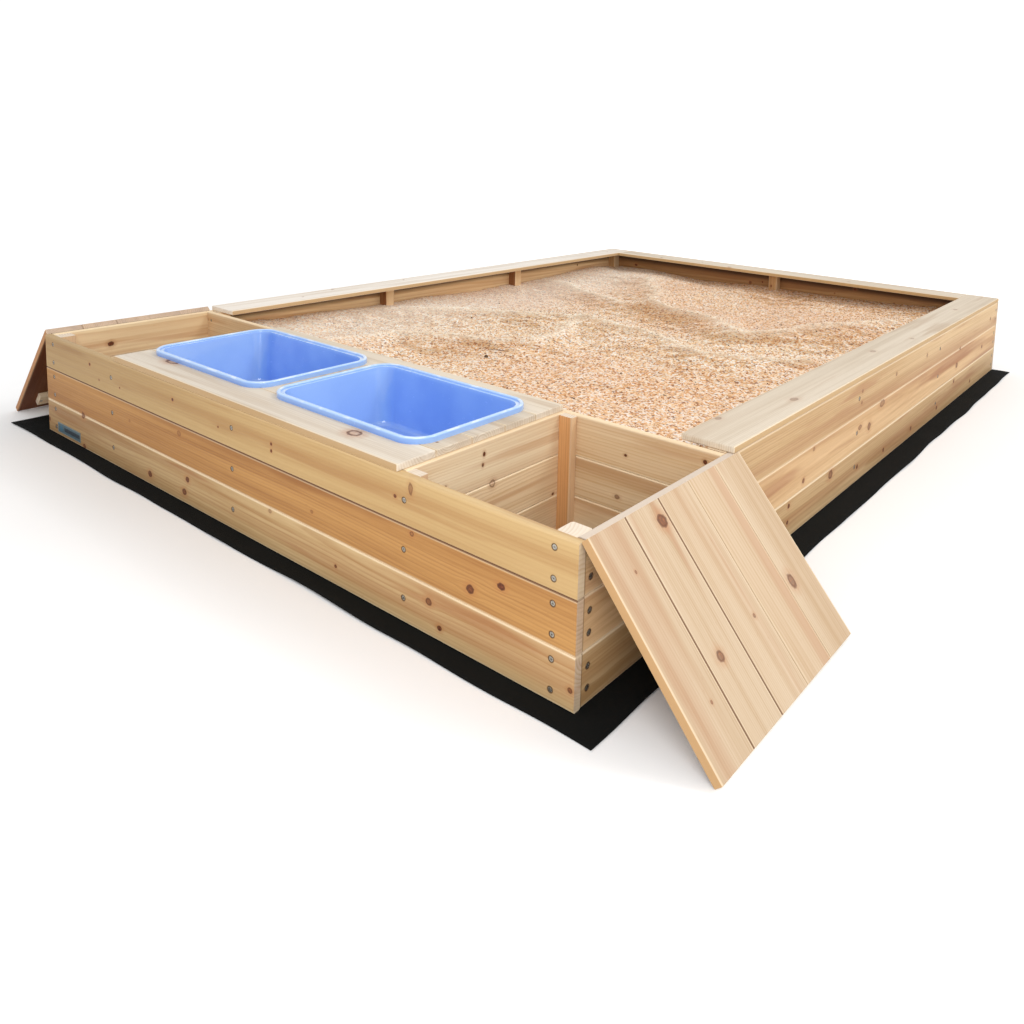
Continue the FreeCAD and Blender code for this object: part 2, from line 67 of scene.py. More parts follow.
class Graph:
    """Adds nodes to a tree and links them; a value is a number, a tuple or another socket."""

    def __init__(self, tree):
        self.tree = tree

    def feed(self, socket, value):
        if isinstance(value, bpy.types.NodeSocket):
            self.tree.links.new(value, socket)
        elif value is not None:
            socket.default_value = value

    def fill(self, node, inputs):
        for name, value in inputs.items():
            self.feed(node.inputs[name], value)

    def add(self, kind, inputs=None, **settings):
        node = self.tree.nodes.new("ShaderNode" + kind)
        for name, value in settings.items():
            setattr(node, name, value)
        self.fill(node, inputs or {})
        return node

    def math(self, operation, a, b=None, c=None, clamp=False):
        node = self.add("Math", operation=operation, use_clamp=clamp)
        for socket, value in zip(node.inputs, (a, b, c)):
            self.feed(socket, value)
        return node.outputs[0]

    def vector(self, operation, a, b=None):
        node = self.add("VectorMath", operation=operation)
        self.feed(node.inputs[0], a)
        self.feed(node.inputs[1], b)
        number = operation in ("LENGTH", "DOT_PRODUCT")
        return node.outputs["Value" if number else "Vector"]

    def ease(self, value, low, high, start=0.0, end=1.0):
        """Runs smoothly from start to end while value runs from low to high."""
        node = self.add("MapRange", {"Value": value, "From Min": low, "From Max": high,
                                     "To Min": start, "To Max": end},
                        interpolation_type="SMOOTHSTEP")
        return node.outputs["Result"]

    def mix(self, factor, a, b, kind="MIX"):
        node = self.add("Mix", data_type="RGBA", blend_type=kind)
        for index, value in ((0, factor), (6, a), (7, b)):
            self.feed(node.inputs[index], value)
        return node.outputs[2]

    def noise(self, place, scale, detail=2.0, roughness=0.5):
        node = self.add("TexNoise", {"Vector": place, "Scale": scale, "Detail": detail,
                                     "Roughness": roughness})
        return node.outputs["Fac"]

    def ramp(self, factor, stops):
        node = self.add("ValToRGB")
        elements = node.color_ramp.elements
        while len(elements) < len(stops):
            elements.new(0.5)
        for element, (position, tint) in zip(elements, stops):
            element.position = position
            element.color = tint
        self.feed(node.inputs[0], factor)
        return node.outputs["Color"]

    def group(self, tree, inputs):
        node = self.add("Group", node_tree=tree)
        self.fill(node, inputs)
        return node

    def split(self, vector):
        return self.add("SeparateXYZ", {"Vector": vector}).outputs

    def join(self, x, y, z):
        return self.add("CombineXYZ", {"X": x, "Y": y, "Z": z}).outputs["Vector"]

    def place(self):
        return self.add("TexCoord").outputs["Object"]

    def normal(self):
        return self.add("TexCoord").outputs["Normal"]

    def bump(self, height, strength, distance):
        node = self.add("Bump", {"Height": height, "Strength": strength, "Distance": distance})
        return node.outputs["Normal"]


def new_group(name, inputs, outputs):
    """A node group; inputs maps a name to its socket type and default."""
    tree = bpy.data.node_groups.new(name, "ShaderNodeTree")
    for title, (kind, default) in inputs.items():
        socket = tree.interface.new_socket(title, in_out="INPUT", socket_type="NodeSocket" + kind)
        if default is not None:
            socket.default_value = default
    for title, kind in outputs.items():
        tree.interface.new_socket(title, in_out="OUTPUT", socket_type="NodeSocket" + kind)
    start = tree.nodes.new("NodeGroupInput")
    end = tree.nodes.new("NodeGroupOutput")
    return Graph(tree), start.outputs, end.inputs


def sockets(kind, default, *names):
    """Inputs of one kind for new_group."""
    return {name: (kind, default) for name in names}


def new_material(name):
    """A material, its graph and its Principled shader."""
    material = bpy.data.materials.new(name)
    material.use_nodes = True
    graph = Graph(material.node_tree)
    shader = material.node_tree.nodes["Principled BSDF"]
    return material, graph, shader


# ---------------------------------------------------------------- pieces

def new_object(name, data):
    """An object in the scene that shows a mesh, a light or a camera."""
    thing = bpy.data.objects.new(name, data)
    bpy.context.scene.collection.objects.link(thing)
    return thing


def new_piece(name, verts, faces):
    mesh = bpy.data.meshes.new(name)
    mesh.from_pydata(verts, [], faces)
    return new_object(name, mesh)


def smooth(piece):
    for polygon in piece.data.polygons:
        polygon.use_smooth = True


def grid_faces(columns, rows):
    """Four-sided faces over a grid of points that are counted along X first."""
    wide = columns + 1
    faces = []
    for row in range(rows):
        for column in range(columns):
            corner = row * wide + column
            faces.append((corner, corner + 1, corner + wide + 1, corner + wide))
    return faces


def corners_of(node):
    """The lowest and highest corners of a CAD node."""
    low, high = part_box(node)
    return Vector(low), Vector(high)


# ---------------------------------------------------------------- wood

# What a knot does to the wood: it pushes the grain aside, and has a core, a rim and a stain.
MASKS = ("Push", "Core", "Rim", "Stain")


def knot_group():
    """One knot: adds to the push on the grain and to the masks of its core, rim and stain."""
    graph, start, end = new_group(
        "knot",
        {**sockets("Vector", None, "Place", "Centre"), "Size": ("Vector", (1, 1, 1)),
         **sockets("Float", 1.0, "Strength", "Fill"), **sockets("Float", 0.0, *MASKS)},
        dict.fromkeys(MASKS, "Float"))
    offset = graph.vector("SUBTRACT", start["Place"], start["Centre"])
    offset = graph.vector("MULTIPLY", offset, (1, 1, 0))
    reach = graph.vector("DIVIDE", offset, start["Size"])
    wobble = graph.noise(start["Place"], 130.0, 2.0)
    wobble = graph.math("MULTIPLY_ADD", wobble, 0.6, 0.7)
    distance = graph.math("MULTIPLY", graph.vector("LENGTH", reach), wobble)
    strength = start["Strength"]

    wide = graph.vector("LENGTH", graph.vector("MULTIPLY", reach, (0.30, 0.60, 0)))
    bend = graph.math("MULTIPLY", graph.ease(wide, 0.0, 1.6, 0.85, 0.0), strength)
    shift = graph.math("MULTIPLY", graph.split(offset)["Y"], bend)
    graph.feed(end["Push"], graph.math("SUBTRACT", start["Push"], shift))

    core = graph.math("MULTIPLY", graph.ease(distance, 0.95, 0.65), start["Fill"])
    rim = graph.math("MULTIPLY", graph.ease(distance, 1.10, 0.88), graph.ease(distance, 0.45, 0.80))
    rim = graph.math("MULTIPLY", rim, strength)
    stain = graph.math("MULTIPLY", graph.ease(distance, 2.6, 0.7), strength)
    for name, mask in (("Core", core), ("Rim", rim), ("Stain", stain)):
        graph.feed(end[name], graph.math("MAXIMUM", start[name], mask))
    return graph.tree


# The colours of marks on the wood, two to a line: its sawn end and rings; a darkening towards a
# board's start and painted shade on an under face; wear with a painted highlight on rounded edges
# and painted shade close below a seat; painted shade with dirt in a joint and a painted highlight
# in a joint; a painted shade line in a corner joint and painted shade with dirt about a screw head;
# then its knots. Two of them only tint what they cover.
SAWN_PALE, SAWN_RING = colour(232, 222, 206), colour(198, 176, 146)
DARKER_AT_START, SHADED = colour(221, 216, 212), colour(150, 106, 72)
EDGE_TINT, GLOOM_TINT = colour(240, 220, 186), colour(58, 36, 22)
SEAM_SHADE_AND_DIRT, SEAM_HIGHLIGHT = colour(104, 62, 34), colour(250, 232, 200)
END_SHADE_TINT, SCREW_SHADE_AND_DIRT = colour(84, 54, 32), colour(64, 40, 22)
KNOT_STAIN, KNOT_RIM = colour(178, 112, 64), colour(88, 46, 26)
KNOT_STOPS = ((0.25, colour(48, 24, 14)), (0.50, colour(104, 52, 28)), (0.8, colour(152, 88, 50)))

# How far from a board's edge or end a mark begins and where it is at its strongest, in metres.
EDGE_WEAR_AND_HIGHLIGHT = (0.0052, 0.0016)
SEAM = (0.0028, 0.0014)
END_LINE = (0.0035, 0.0015)


def wood_group():
    """Planed softwood: growth rings, fibres and drifts of colour along the board, and its marks,
    painted shade and painted highlights among them.
    """
    graph, start, end = new_group(
        "planed_wood",
        {**sockets("Vector", None, "Place", "Seed", "Pith", "Slope"),
         **sockets("Color", None, "Pale", "Deep", "Red", "Flank"),
         "Spacing": ("Float", 0.006), "Width": ("Float", 0.09),
         "Edge": ("Float", 0.5), "Redness": ("Float", 0.3),
         **sockets("Float", 0.0, *MASKS, "End", "Side", "Under", "Gloom", "Fade", "End Line",
                   "Marks", "Low Seam", "High Seam")},
        {"Color": "Color", "Height": "Float", "Roughness": "Float"})
    place = start["Place"]
    u, v, t = graph.split(place)
    seeded = graph.vector("ADD", place, start["Seed"])

    def stretched(along, across):
        return graph.vector("MULTIPLY", seeded, (along, across, across))

    pith = graph.vector("ADD", start["Pith"],
                        graph.vector("MULTIPLY", graph.join(u, u, u), start["Slope"]))
    pushed = graph.join(0.0, graph.math("ADD", v, start["Push"]), t)
    ray = graph.vector("MULTIPLY", graph.vector("SUBTRACT", pushed, pith), (0, 1, 1))
    radius = graph.vector("LENGTH", ray)
    sway = graph.noise(stretched(1.3, 7.0), 1.0, 1.0)
    ripple = graph.noise(stretched(9.0, 60.0), 1.0, 1.0)
    radius = graph.math("MULTIPLY_ADD", graph.math("SUBTRACT", sway, 0.5), 0.030, radius)
    radius = graph.math("MULTIPLY_ADD", graph.math("SUBTRACT", ripple, 0.5), 0.0022, radius)
    rings = graph.math("DIVIDE", radius, start["Spacing"])
    year = graph.math("FRACT", rings)
    late = graph.math("MULTIPLY", graph.ease(year, 0.25, 0.86), graph.ease(year, 1.0, 0.9))
    change = graph.noise(graph.join(graph.math("MULTIPLY", rings, 0.45), 0.3, 0.7), 1.0, 1.0)
    late = graph.math("MULTIPLY", late, graph.ease(change, 0.3, 0.72, 0.25, 1.0))

    drift = graph.noise(stretched(0.8, 9.0), 1.0, 2.0)
    streak = graph.noise(stretched(1.6, 85.0), 1.0, 2.0)
    fibre = graph.noise(stretched(28.0, 1300.0), 1.0, 1.0)
    pores = graph.noise(stretched(60.0, 620.0), 1.0, 2.0)
    tone = graph.math("MULTIPLY", late, 0.46)
    tone = graph.math("MULTIPLY_ADD", graph.ease(drift, 0.32, 0.70), 0.52, tone)
    tone = graph.math("MULTIPLY_ADD", graph.ease(streak, 0.40, 0.66), 0.34, tone)
    tone = graph.math("MULTIPLY_ADD", graph.math("SUBTRACT", fibre, 0.5), 0.42, tone, clamp=True)
    base = graph.mix(tone, start["Pale"], start["Deep"])

    heart = graph.noise(stretched(0.55, 13.0), 1.0, 2.0)
    heart = graph.math("MULTIPLY", graph.ease(heart, 0.50, 0.68), start["Redness"])
    base = graph.mix(heart, base, start["Red"])
    speck = graph.ease(pores, 0.30, 0.22, 0.0, 0.45)
    base = graph.mix(speck, base, start["Red"])
    band = graph.noise(stretched(2.0, 30.0), 1.0, 2.0)
    base = graph.mix(graph.ease(band, 0.56, 0.70, 0.0, 0.45), base, start["Red"])
    sawn = graph.mix(graph.math("MULTIPLY", late, 0.6), SAWN_PALE, SAWN_RING)
    base = graph.mix(start["End"], base, sawn)
    # Darker towards the board's start.
    start_darkening = graph.math("MULTIPLY", start["Fade"], graph.ease(u, 0.1, 1.3, 1.0, 0.0))
    base = graph.mix(start_darkening, base, DARKER_AT_START, kind="MULTIPLY")

    # The narrow faces take the flank colour: beside the painted sheen on the wide faces of seats
    # and deck, as painted shade on the lids' narrow faces, and as a painted highlight on the side
    # walls'.
    base = graph.mix(graph.math("MULTIPLY", start["Side"], 0.85), base, start["Flank"])
    # Painted shade on the under face.
    base = graph.mix(graph.math("MULTIPLY", start["Under"], 0.9), base, SHADED, kind="MULTIPLY")
    # Rounded edges are paler: wear with a painted highlight.
    far = graph.math("SUBTRACT", start["Width"], v)
    bare = graph.math("SUBTRACT", 1.0, graph.math("MAXIMUM", start["End"], start["Side"]))
    edge = graph.math("MULTIPLY", graph.ease(graph.math("MINIMUM", v, far), *EDGE_WEAR_AND_HIGHLIGHT), bare)
    edge = graph.math("MULTIPLY", edge, start["Edge"])
    base = graph.mix(edge, base, EDGE_TINT)
    # A seam above 0 darkens the joint with painted shade and dirt; below 0 it gives the joint a
    # painted highlight.
    seam = graph.math("ADD", graph.math("MULTIPLY", graph.ease(v, *SEAM), start["Low Seam"]),
                      graph.math("MULTIPLY", graph.ease(far, *SEAM), start["High Seam"]))
    seam = graph.math("MULTIPLY", seam, graph.math("SUBTRACT", 0.9, start["End"]))
    base = graph.mix(graph.math("MAXIMUM", seam, 0.0), base, SEAM_SHADE_AND_DIRT)
    seam_highlight = graph.math("MAXIMUM", graph.math("MULTIPLY", seam, -1.0), 0.0)
    base = graph.mix(seam_highlight, base, SEAM_HIGHLIGHT)

    # A painted shade line in the corner joint at the board's start.
    line = graph.math("MULTIPLY", graph.ease(u, *END_LINE), start["End Line"])
    base = graph.mix(line, base, END_SHADE_TINT)
    # Painted shade with dirt about the screw heads.
    base = graph.mix(start["Marks"], base, SCREW_SHADE_AND_DIRT)
    # Painted shade close below a seat.
    base = graph.mix(start["Gloom"], base, GLOOM_TINT)

    curl = graph.noise(place, 260.0, 3.0, 0.6)
    stain = graph.math("MULTIPLY", start["Stain"], graph.ease(curl, 0.2, 0.7, 0.20, 0.55))
    base = graph.mix(stain, base, KNOT_STAIN)
    base = graph.mix(start["Core"], base, graph.ramp(curl, KNOT_STOPS))
    base = graph.mix(graph.math("MULTIPLY", start["Rim"], 0.8), base, KNOT_RIM)
    graph.feed(end["Color"], base)

    height = graph.math("MULTIPLY_ADD", fibre, 0.5, graph.math("MULTIPLY", late, -0.6))
    height = graph.math("MULTIPLY_ADD", start["Core"], 0.8, height)
    height = graph.math("MULTIPLY_ADD", start["Rim"], -0.9, height)
    graph.feed(end["Height"], height)
    rough = graph.math("MULTIPLY_ADD", graph.math("SUBTRACT", fibre, late), 0.16, 0.56)
    graph.feed(end["Roughness"], rough)
    return graph.tree


# Where the painted shade and dirt about a screw's head end and where they are at their strongest,
# in metres from the screw.
MARK_RADII = (0.0070, 0.0050)


def mark_group():
    """The dark ring about a screw's head, which is sunk in the board: painted shade of the recess,
    with dirt.
    """
    graph, start, end = new_group(
        "screw_shade_and_dirt",
        {**sockets("Vector", None, "Place", "Centre"), "Marks": ("Float", 0.0)},
        {"Marks": "Float"})
    offset = graph.vector("SUBTRACT", start["Place"], start["Centre"])
    distance = graph.vector("LENGTH", graph.vector("MULTIPLY", offset, (1, 1, 0)))
    ring = graph.ease(distance, *MARK_RADII, 0.0, 0.85)
    graph.feed(end["Marks"], graph.math("MAXIMUM", start["Marks"], ring))
    return graph.tree


KNOT = knot_group()
MARK = mark_group()
WOOD = wood_group()

# Pale wood, its darker grain, its reddish heart, and how much of the heart shows.
TONES = {
    "front_low": ((218, 188, 140), (182, 140, 90), (166, 104, 60), 0.40),
    "front_mid": ((191, 141, 80), (154, 102, 50), (134, 80, 36), 0.70),
    "front_top": ((208, 176, 124), (190, 154, 102), (166, 118, 68), 0.40),
    "side": ((214, 182, 138), (180, 142, 96), (158, 100, 62), 0.40),
    "side_mid": ((220, 184, 138), (182, 138, 92), (152, 92, 56), 0.75),
    # The back wall's darker tones are painted shade, on both its faces.
    "back": ((190, 150, 102), (156, 114, 70), (136, 88, 52), 0.40),
    "left": ((250, 218, 174), (218, 180, 134), (194, 136, 90), 0.40),
    "inner": ((244, 218, 180), (218, 182, 136), (188, 132, 84), 0.45),
    "inner_top": ((252, 232, 198), (228, 196, 152), (200, 146, 98), 0.35),
    # The seats' and the deck's pale tones carry a painted sheen; their narrow faces keep the wood's
    # colour.
    "seat": ((224, 210, 190), (198, 180, 156), (182, 154, 124), 0.30),
    "seat_left": ((244, 236, 226), (220, 208, 192), (204, 184, 160), 0.25),
    "deck": ((238, 228, 212), (214, 200, 182), (196, 174, 148), 0.20),
    "lid": ((208, 186, 158), (186, 156, 122), (170, 118, 78), 0.45),
    # The left lid's dark tones are painted shade.
    "lid_left": ((190, 146, 102), (150, 102, 64), (126, 78, 46), 0.50),
    "post": ((236, 182, 124), (206, 146, 90), (178, 108, 62), 0.55),
    "pit": ((206, 166, 118), (172, 130, 84), (148, 96, 56), 0.50),
    "bare": ((226, 206, 176), (198, 166, 124), (186, 138, 92), 0.30),
}

# The narrow faces of a board, where they aren't like its wide ones. A painted sheen makes the wide
# faces of the seats and the deck paler than their narrow ones, which keep the wood's colour;
# painted shade makes the lids' narrow faces darker; a painted highlight makes the side walls'
# narrow faces, their tops among them, paler.
FLANKS = {
    "seat": (190, 152, 98), "seat_left": (190, 152, 98), "deck": (190, 152, 98),
    "lid": (190, 148, 98), "lid_left": (176, 124, 78), "side": (212, 198, 184),
}

# How pale the edges are, with wear and a painted highlight, and how far the sawn ends differ from
# the faces.
USUAL_EDGE = 0.5
EDGES = {"lid_left": 0.12, "front_top": 0.12}
USUAL_END = 0.4
ENDS = {"post": 0.85, "lid": 0.85}

# The shade on a wall below its seat board: where it begins and is full, in metres from the wall's
# top, its strength, and how far it takes to come on along the wall.
GLOOM_DEPTHS = (0.046, 0.022)
GLOOM_STRENGTH = 0.85
GLOOM_START = 0.01


def chance_knots(draw, length, width):
    """Small knots scattered along a board: place, size, strength and fill, in metres."""
    end_margin, side_margin = 0.02, 0.008
    knots = []
    for _ in range(round(length * draw.uniform(1.6, 3.4))):
        size = draw.choice((0.003, 0.004, 0.006, 0.008))
        knots.append((draw.uniform(end_margin, max(length - end_margin, 0.03)),
                      draw.uniform(side_margin, width - side_margin),
                      size * draw.uniform(0.8, 1.5), size, draw.uniform(0.5, 1.0),
                      draw.uniform(0.4, 1.0)))
    return knots


def wood(name, origin, along, across, length, width, tone, knots=None, seams=(0, 0), underside=0,
         fade=0.0, end_line=0.0, screws=(), gloom_from=None):
    """A board's own material; its grain runs along, and V counts from origin across the face.

    Knots and screws are in metres along and across it. A seam above 0 is a joint darkened by
    painted shade and dirt, and below 0 a joint with a painted highlight; underside is the sign of
    the face with painted shade. Fade darkens the board towards its start, and end_line is the
    painted shade line in the joint there. From gloom_from onwards a seat board lies on top, and
    instead of a shaded face the underside's face gets painted shade close below the seat.
    """
    draw = random.Random(name)
    material, graph, shader = new_material("wood_" + name)
    through = along.cross(across)
    offset = graph.vector("SUBTRACT", graph.place(), tuple(origin))
    parts = [graph.vector("DOT_PRODUCT", offset, tuple(axis)) for axis in (along, across, through)]
    place = graph.join(*parts)
    normal = graph.normal()
    facing = graph.vector("DOT_PRODUCT", normal, tuple(along))
    end = graph.ease(graph.math("ABSOLUTE", facing), 0.6, 0.9)
    facing = graph.vector("DOT_PRODUCT", normal, tuple(across))
    narrow = graph.ease(graph.math("ABSOLUTE", facing), 0.6, 0.95)
    # The under face gets painted shade; on a wall below a seat only a band close below the seat
    # does.
    facing = graph.vector("DOT_PRODUCT", normal, tuple(through * underside))
    under = graph.ease(facing, 0.6, 0.95)
    gloom = 0.0
    if gloom_from is not None:
        u, v, _ = graph.split(place)
        low, high = (width - depth for depth in GLOOM_DEPTHS)
        gloom = graph.math("MULTIPLY", under, graph.ease(v, low, high, 0.0, GLOOM_STRENGTH))
        gloom = graph.math("MULTIPLY", gloom, graph.ease(u, gloom_from - GLOOM_START, gloom_from))
        under = 0.0

    if draw.random() < 0.5:
        pith = (draw.uniform(0.1, 0.9) * width, draw.choice((-1, 1)) * draw.uniform(0.02, 0.06))
    else:
        pith = (draw.choice((-1.0, 2.0)) * draw.uniform(0.8, 1.3) * width,
                draw.uniform(-0.05, 0.05))
    slope = (0.0, draw.uniform(-0.012, 0.012), draw.uniform(-0.03, 0.03))
    pale, deep, red, redness = TONES[tone]
    shift = draw.uniform(-6, 6)
    shades = [colour(*(min(part + shift, 250) for part in shade)) for shade in (pale, deep, red)]
    masks = dict.fromkeys(MASKS, 0.0)
    if knots is None:
        knots = chance_knots(draw, length, width)
    for u, v, half_length, half_width, strength, fill in knots:
        knot = graph.group(KNOT, {"Place": place, "Centre": (u, v, 0.0),
                                  "Size": (half_length, half_width, 1.0), "Strength": strength,
                                  "Fill": fill, **masks})
        masks = {title: knot.outputs[title] for title in MASKS}
    marks = 0.0
    for u, v in screws:
        mark = graph.group(MARK, {"Place": place, "Centre": (u, v, 0.0), "Marks": marks})
        marks = mark.outputs["Marks"]
    end = graph.math("MULTIPLY", end, ENDS.get(tone, USUAL_END))
    grain = graph.group(WOOD, {
        "Place": place, "Seed": tuple(draw.uniform(0, 50) for _ in range(3)),
        "Pith": (0.0, *pith), "Slope": slope, "Spacing": draw.uniform(0.0045, 0.0075),
        "Width": width, "Redness": redness,
        "Pale": shades[0], "Deep": shades[1], "Red": shades[2], "End": end,
        "Side": narrow if tone in FLANKS else 0.0, "Under": under, "Gloom": gloom,
        "Flank": colour(*FLANKS.get(tone, (0, 0, 0))),
        "Edge": EDGES.get(tone, USUAL_EDGE), "Fade": fade, "End Line": end_line, "Marks": marks,
        "Low Seam": seams[0], "High Seam": seams[1], **masks})
    graph.fill(shader, {
        "Base Color": grain.outputs["Color"], "Roughness": grain.outputs["Roughness"],
        "Normal": graph.bump(grain.outputs["Height"], 0.35, 0.0006), "Specular IOR Level": 0.32})
    return material


def dress(piece, material):
    """Puts one material in every slot of a piece."""
    slots = piece.material_slots
    if not slots:
        piece.data.materials.append(material)
    for slot in slots:
        slot.link = "OBJECT"
        slot.material = material


AXES = {"X": X_AXIS, "Y": Y_AXIS, "Z": Z_AXIS}


def dress_board(node, along, across, tone, **details):
    """A CAD board that lies along the axes; U and V count from its low corner."""
    low, high = corners_of(node)
    size = high - low
    along, across = AXES[along], AXES[across]
    dress(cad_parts[node], wood(node, low, along, across, size.dot(along), size.dot(across),
                                     tone, **details))


# Knots that show, in centimetres: place along, place across, half length, half width; then the
# strength of the dark rim, and how far the middle is filled. On the walls and the divider they are
# counted along from the frame's front or left, and up from the ground.
FRONT_KNOTS = (
    (26.5, 23.7, .45, .4, 1, 1), (42.5, 20.8, .3, .25, .8, .9), (68, 23.4, .45, .4, 1, 1),
    (87, 21.5, .3, .25, .8, .8), (106.7, 22.6, .35, .35, 1, 1), (106.7, 21.2, .35, .35, 1, 1),
    (144, 22.6, .4, .35, .9, .9), (148, 25, .6, 1.1, .6, .5), (31.5, 20.6, .35, .3, .6, .6),
    (70.5, 16, .9, .7, .35, .35), (148.4, 17, .5, .45, .9, .3), (169.3, 14.9, .9, .6, 1, 1),
    (162.5, 12, .9, .8, 1, .9), (21.5, 9, 1.0, .9, .8, .7),
    (106, 8.3, .6, .5, .4, .4), (73.7, 6, .8, .7, 1, .9), (72.2, 2.7, .95, .75, 1, .8),
    (56.5, 2.6, .95, .8, .9, .9), (21.5, .6, .8, .7, .9, .7), (.4, 3.3, .6, .6, .8, .8),
    (152.8, 6.2, .8, .7, .9, .7), (155.5, 2.4, .6, .5, 1, 1), (127.3, 3.8, .4, .35, .9, .9),
    (183.6, 3.5, .5, .5, .8, .8), (120.0, 12.4, .5, .4, .4, .4), (47, 13.5, .5, .4, .3, .3),
)
SIDE_KNOTS = (
    (75.7, 7.5, .45, .4, 1, 1), (75.5, 3.8, .4, .35, 1, 1), (83, 11, .5, .45, .8, .7),
    (88, 17, .5, .4, .4, .4), (99.5, 7.5, 1.0, .8, .9, .6), (118, 4, .5, .45, .9, .9),
    (118, 14.5, 1.0, .5, .6, .5), (118, 24, .4, .4, .5, .5), (118, 21, .4, .35, .5, .5),
    (125, 13, .9, .8, .7, .6), (134.5, 17, 1.5, .7, .6, .4), (145, 23, .5, .45, .5, .5),
    (138.5, 2.8, .5, .45, .9, .9), (163, 2.7, .6, .5, .9, .8), (174, 23, .5, .5, .5, .5),
    (190, 2.7, .6, .5, .9, .8), (209, 7.5, .6, .5, .9, .8), (211, 12.7, .9, .7, .8, .6),
    (214, 18, .5, .45, .8, .7), (232, 2.7, .5, .45, .9, .9), (52, 16, .7, .6, .9, .8),
    (57, 5, .5, .5, .8, .8), (246, 13, .6, .5, .8, .8), (256, 22, .5, .45, .8, .8),
)
# On the right lid, from its front edge, and up from its lower end.
LID_KNOTS = (
    (17, 32.7, 1.2, 1.15, .8, .75), (13, 12, .9, .85, .7, .6), (25.3, 13, .4, .35, .6, .5),
    (39.7, 13, 1.3, 1.0, .7, .6), (5.6, 28.5, .3, .25, .6, .5), (6.3, 8.4, .3, .25, .6, .5),
)
# On the deck, from its left end, and from its front edge.
DECK_KNOTS = ((86.5, 5, 1.75, 1.3, 1, .05), (15, 7, 2.3, 1.3, 1, .15), (99.6, 30, .35, .3, .7, .6),
              (101.5, 12.2, .3, .3, .6, .6))
DIVIDER_KNOTS = ((161.2, 21.4, .35, .3, .9, 1), (159.5, 12, .7, .5, .5, .6),
                 (179.5, 24.8, .45, .45, 1, 1), (9.5, 14.2, .55, .5, .9, .9),
                 (24.5, 22.4, .4, .35, .7, .8))
LEFT_KNOTS = ((16.4, 21.8, .9, .7, 1, 1), (70, 14, .6, .5, .8, .8), (118, 22, .5, .5, .8, .9),
              (160, 5, .7, .6, .8, .7), (203, 15, .9, .7, .9, .8), (236, 23, .4, .4, .8, .9))
# On the right partition and the right seat, from the front end, and from the ground or inner edge.
PARTITION_KNOTS = ((19.5, 24.5, .35, .5, 1, 1), (19.2, 22.4, .3, .4, .9, .9),
                   (9.3, 21, .4, .35, .7, .7), (22, 17.8, .8, .8, .7, .2), (41, 9.6, .35, .3, 1, 1),
                   (15, 6, .5, .4, .5, .5))
SEAT_KNOTS = ((37, 7.4, 1.5, .9, .35, .35), (96, 5, 1.3, .8, .3, .3), (13, 1.2, 1.0, .7, .35, .35),
              (121, 8.3, .8, .6, .3, .3), (181, 5.4, 1.1, .7, .35, .3))


def in_metres(spots):
    return tuple((u * CM, v * CM) for u, v in spots)


# Screw heads on each wall board, in centimetres along it and up it.
FRONT_SCREWS = in_metres(((4.6, 2.0), (4.6, 7.0), (38.05, 4.5), (92.2, 4.5), (146.35, 4.5),
                          (179.8, 2.0), (179.8, 7.0)))
SIDE_SCREWS = in_metres(((1.6, 2.7), (1.6, 6.3), (47.9, 4.5), (114.4, 4.5), (186.6, 4.5),
                         (262.7, 2.7), (262.7, 6.3)))


def within(knots, low, high, start=0.0, swell=1.0):
    """The knots that reach between two heights, in metres from there and from start."""
    picked = []
    for u, v, half_length, half_width, strength, fill in knots:
        if low - half_width < v < high + half_width:
            picked.append(((u - start) * CM, (v - low) * CM, half_length * swell * CM,
                           half_width * swell * CM, strength, fill))
    return picked


# In centimetres, the height of a course and the thickness of a board that other walls butt on. In
# metres, how far along the left wall its seat begins.
COURSE = 9.0
BOARD = 1.6
SEAT_START = 0.49

# For each course from the ground up: its tones, how it fades, and the joints below and above it; a
# joint above 0 is darkened with painted shade and dirt, and one below 0 gets a painted highlight.
FRONT_TONES = ("front_low", "front_mid", "front_top")
SIDE_TONES = ("side", "side_mid", "side")
FRONT_FADES = (1.0, 0.35, 1.0)
FRONT_SEAMS = ((0, -0.5), (-0.4, 0.9), (0.8, 0))
SIDE_SEAMS = ((0, -0.4), (-0.4, -0.2), (-0.2, 0))
HIGHLIT_SEAMS = ((0, -0.7), (-0.7, -0.7), (-0.7, 0))
# How much larger the right wall's knots are than listed.
SIDE_SWELL = 1.35


def below_seat(course, seat_start):
    """Painted shade on a wall's top board close below the seat that lies on it."""
    return {"underside": 1, "gloom_from": seat_start} if course == 2 else {}


for course in range(3):
    number = course + 1
    bottom, top = course * COURSE, number * COURSE
    front, side, pale = FRONT_SEAMS[course], SIDE_SEAMS[course], HIGHLIT_SEAMS[course]
    dress_board("front_board_%d" % number, "X", "Z", FRONT_TONES[course],
                fade=FRONT_FADES[course], screws=FRONT_SCREWS, seams=front,
                knots=within(FRONT_KNOTS, bottom, top))
    dress_board("right_board_%d" % number, "Y", "Z", SIDE_TONES[course], end_line=0.45,
                screws=SIDE_SCREWS, seams=side,
                knots=within(SIDE_KNOTS, bottom, top, BOARD, SIDE_SWELL))
    dress_board("left_board_%d" % number, "Y", "Z", "left", screws=SIDE_SCREWS, seams=side,
                knots=within(LEFT_KNOTS, bottom, top, BOARD), **below_seat(course, SEAT_START))
    dress_board("back_board_%d" % number, "X", "Z", "back", seams=front,
                **below_seat(course, 0.0))
    dress_board("divider_board_%d" % number, "X", "Z", "inner", seams=pale,
                knots=within(DIVIDER_KNOTS, bottom, top, BOARD))
    dress_board("right_partition_board_%d" % number, "Y", "Z",
                "inner_top" if course == 2 else "inner", seams=pale,
                knots=within(PARTITION_KNOTS, bottom, top))
    dress_board("left_partition_board_%d" % number, "Y", "Z", "inner", seams=pale)

